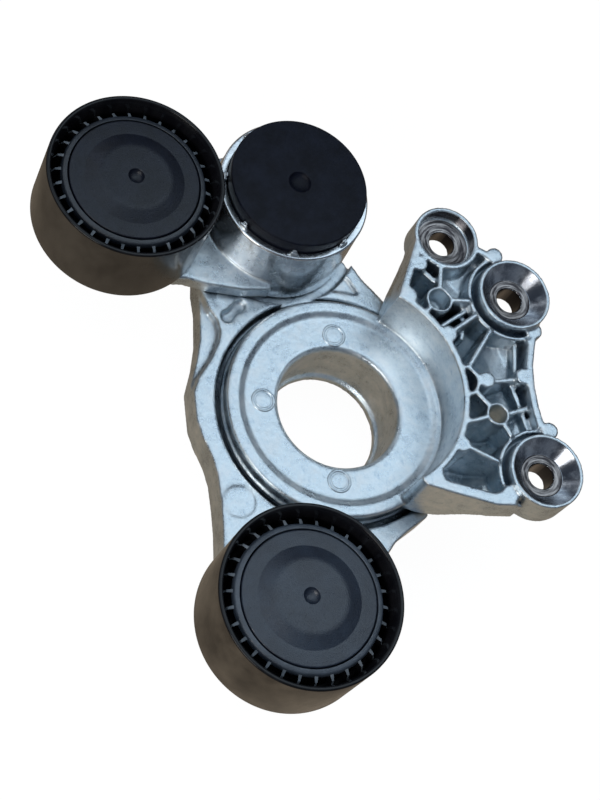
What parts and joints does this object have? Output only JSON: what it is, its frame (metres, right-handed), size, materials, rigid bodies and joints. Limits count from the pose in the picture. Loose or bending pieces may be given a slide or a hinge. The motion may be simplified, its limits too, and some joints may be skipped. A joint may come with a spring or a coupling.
{
  "type": "belt tensioner idler",
  "caption": "Twin-pulley belt tensioner: ribbed bracket with ring and sleeve, swivelling carrier and a sprung arm in a round can, each holding a smooth idler pulley.",
  "frame": {"origin": "centre of the ring's bore, at the rear end of the sleeve", "axes": "+Z along the ring's bore towards the pulleys' front faces; +Y parallel to the line from the lower pulley's axis to the upper one; +X towards the bracket with the three bolt holes"},
  "size_m": [0.1771, 0.2276, 0.0615],
  "materials": {
    "cast_aluminium": "as-cast, lightly blasted, with machined faces",
    "bearing_polymer": "matte",
    "friction_polymer": "matte",
    "steel": "satin",
    "spring_steel": "oiled",
    "zinc_steel": "zinc plated",
    "bearing_steel": "ground and polished",
    "cap_plastic": "fine grained",
    "pulley_plastic": "smooth gloss",
    "seal_rubber": "satin",
    "cage_polymer": "matte"
  },
  "bodies": {
    "base": {"base_bracket": "cast_aluminium", "swivel_bush": "bearing_polymer", "front_friction_ring": "friction_polymer", "rear_thrust_washer": "steel", "wave_spring": "spring_steel", "retainer_ring": "steel"},
    "carrier": {"carrier_arm": "cast_aluminium", "pivot_pin": "steel", "pivot_thrust_washer": "bearing_polymer", "pin_retainer_plate": "steel", "lower_bolt": "zinc_steel", "lower_washer": "zinc_steel", "lower_bearing_inner_race": "bearing_steel", "lower_dust_cap": "cap_plastic"},
    "tension_arm": {"tension_arm": "cast_aluminium", "pivot_bush": "bearing_polymer", "damper_ring": "friction_polymer", "torsion_spring": "spring_steel", "can_cap": "cap_plastic", "upper_bolt": "zinc_steel", "upper_washer": "zinc_steel", "upper_bearing_inner_race": "bearing_steel", "upper_dust_cap": "cap_plastic"},
    "upper_pulley": {"upper_pulley_rim": "pulley_plastic", "upper_bearing_outer_race": "bearing_steel", "upper_front_seal": "seal_rubber", "upper_rear_seal": "seal_rubber"},
    "upper_ball_set": {"upper_bearing_balls": "bearing_steel", "upper_ball_cage": "cage_polymer"},
    "lower_pulley": {"lower_pulley_rim": "pulley_plastic", "lower_bearing_outer_race": "bearing_steel", "lower_front_seal": "seal_rubber", "lower_rear_seal": "seal_rubber"},
    "lower_ball_set": {"lower_bearing_balls": "bearing_steel", "lower_ball_cage": "cage_polymer"}
  },
  "joints": [
    {"name": "carrier_swivel", "type": "hinge", "parent": "base", "child": "carrier", "pos_m": [0, 0, 0.0455], "axis": [0, 0, 1], "range_deg": [-10, 20]},
    {"name": "arm_pivot", "type": "hinge", "parent": "carrier", "child": "tension_arm", "pos_m": [0.0075, 0.079, 0.0455], "axis": [0, 0, 1], "range_deg": [-32, 0], "stiffness_Nm_per_rad": 12, "springref_deg": 34.38, "deforming": ["torsion_spring"]},
    {"name": "upper_pulley_spin", "type": "hinge", "parent": "tension_arm", "child": "upper_pulley", "pos_m": [-0.0552, 0.0928, 0.0455], "axis": [0, 0, 1], "continuous": true},
    {"name": "upper_ball_orbit", "type": "hinge", "parent": "tension_arm", "child": "upper_ball_set", "pos_m": [-0.0552, 0.0928, 0.0455], "axis": [0, 0, 1], "continuous": true},
    {"name": "lower_pulley_spin", "type": "hinge", "parent": "carrier", "child": "lower_pulley", "pos_m": [-0.0552, -0.0698, 0.0455], "axis": [0, 0, 1], "continuous": true},
    {"name": "lower_ball_orbit", "type": "hinge", "parent": "carrier", "child": "lower_ball_set", "pos_m": [-0.0552, -0.0698, 0.0455], "axis": [0, 0, 1], "continuous": true}
  ],
  "couplings": [
    {"joint": "upper_ball_orbit", "follows": "upper_pulley_spin", "ratio": 0.6193},
    {"joint": "lower_ball_orbit", "follows": "lower_pulley_spin", "ratio": 0.6193}
  ]
}
